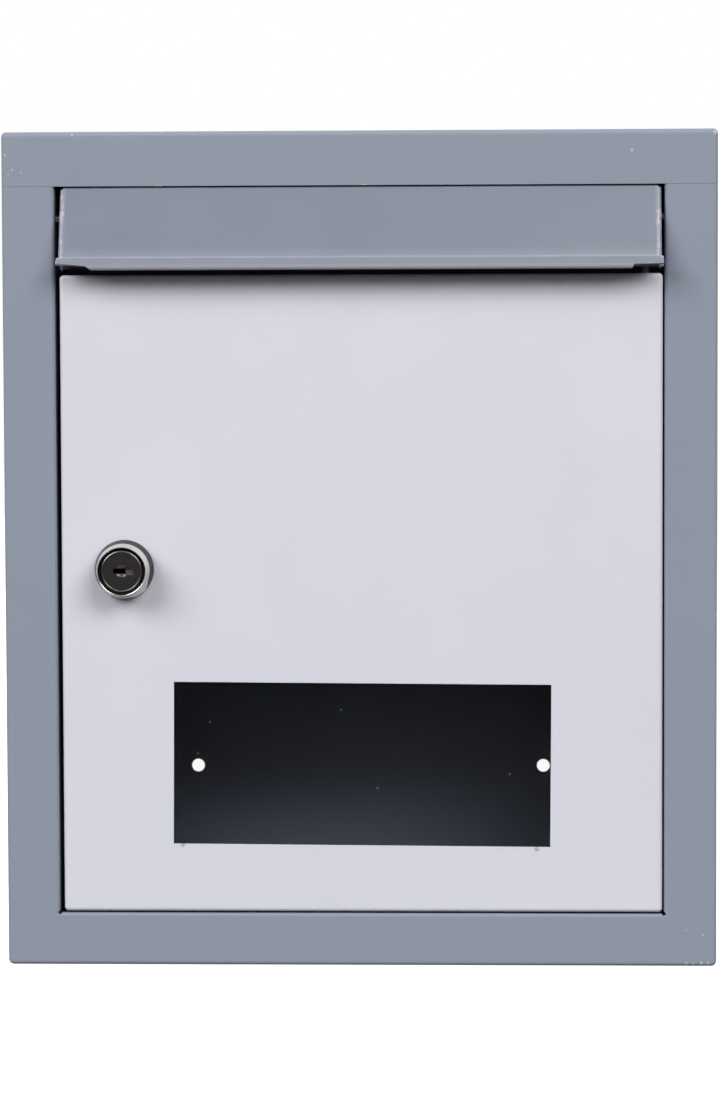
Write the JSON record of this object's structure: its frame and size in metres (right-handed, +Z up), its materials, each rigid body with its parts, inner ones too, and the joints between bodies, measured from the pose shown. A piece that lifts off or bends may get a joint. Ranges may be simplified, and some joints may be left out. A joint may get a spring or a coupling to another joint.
{
  "type": "metal suggestion box",
  "caption": "Wall-hung sheet-steel suggestion box with a framed front, a hinged letter flap, a windowed door and a cam lock.",
  "frame": {"origin": "middle of the underside, halfway between the flap's lip and the back", "axes": "+Z up, -Y out of the front, +Y towards the wall, +X to the right as seen from the front"},
  "size_m": [0.26, 0.1122, 0.305],
  "materials": {
    "grey_paint": "fine satin powder coat, blue-grey",
    "white_paint": "satin powder coat, cool white",
    "clear_acrylic": "clear, glossy, faint dust and scratches",
    "lock_chrome": "polished nickel-chrome plate",
    "plug_nickel": "dark, lightly worn nickel",
    "zinc_steel": "dull zinc plate",
    "wafer_brass": "stamped, dull"
  },
  "bodies": {
    "casing": {"casing_wrap": "grey_paint", "top_cap": "grey_paint", "back_panel": "grey_paint", "slot_sill": "grey_paint", "door_pivot_lower": "zinc_steel", "door_pivot_upper": "zinc_steel"},
    "door": {"door_panel": "white_paint", "window_pane": "clear_acrylic", "pane_channel_lower": "zinc_steel", "pane_channel_upper": "zinc_steel", "lock_housing": "lock_chrome", "lock_nut": "zinc_steel"},
    "lock_rotor": {"lock_plug": "plug_nickel", "lock_wafer_1": "wafer_brass", "lock_wafer_2": "wafer_brass", "lock_wafer_3": "wafer_brass", "lock_wafer_4": "wafer_brass", "lock_wafer_5": "wafer_brass", "cam_stop_washer": "zinc_steel", "lock_cam": "zinc_steel", "cam_spring_washer": "zinc_steel", "cam_screw": "zinc_steel"},
    "flap": {"flap_plate": "grey_paint", "flap_pin_left": "zinc_steel", "flap_pin_right": "zinc_steel", "flap_push_nut_left": "zinc_steel", "flap_push_nut_right": "zinc_steel"}
  },
  "joints": [
    {"name": "door_hinge", "type": "hinge", "parent": "casing", "child": "door", "pos_m": [0.1038, -0.04074, 0.0201], "axis": [0, 0, 1], "range_deg": [0, 110]},
    {"name": "flap_hinge", "type": "hinge", "parent": "casing", "child": "flap", "pos_m": [0, -0.03914, 0.2736], "axis": [-1, 0, 0], "range_deg": [0, 75]},
    {"name": "lock_turn", "type": "hinge", "parent": "door", "child": "lock_rotor", "pos_m": [-0.086, -0.04394, 0.1458], "axis": [0, 1, 0], "range_deg": [0, 90]}
  ]
}
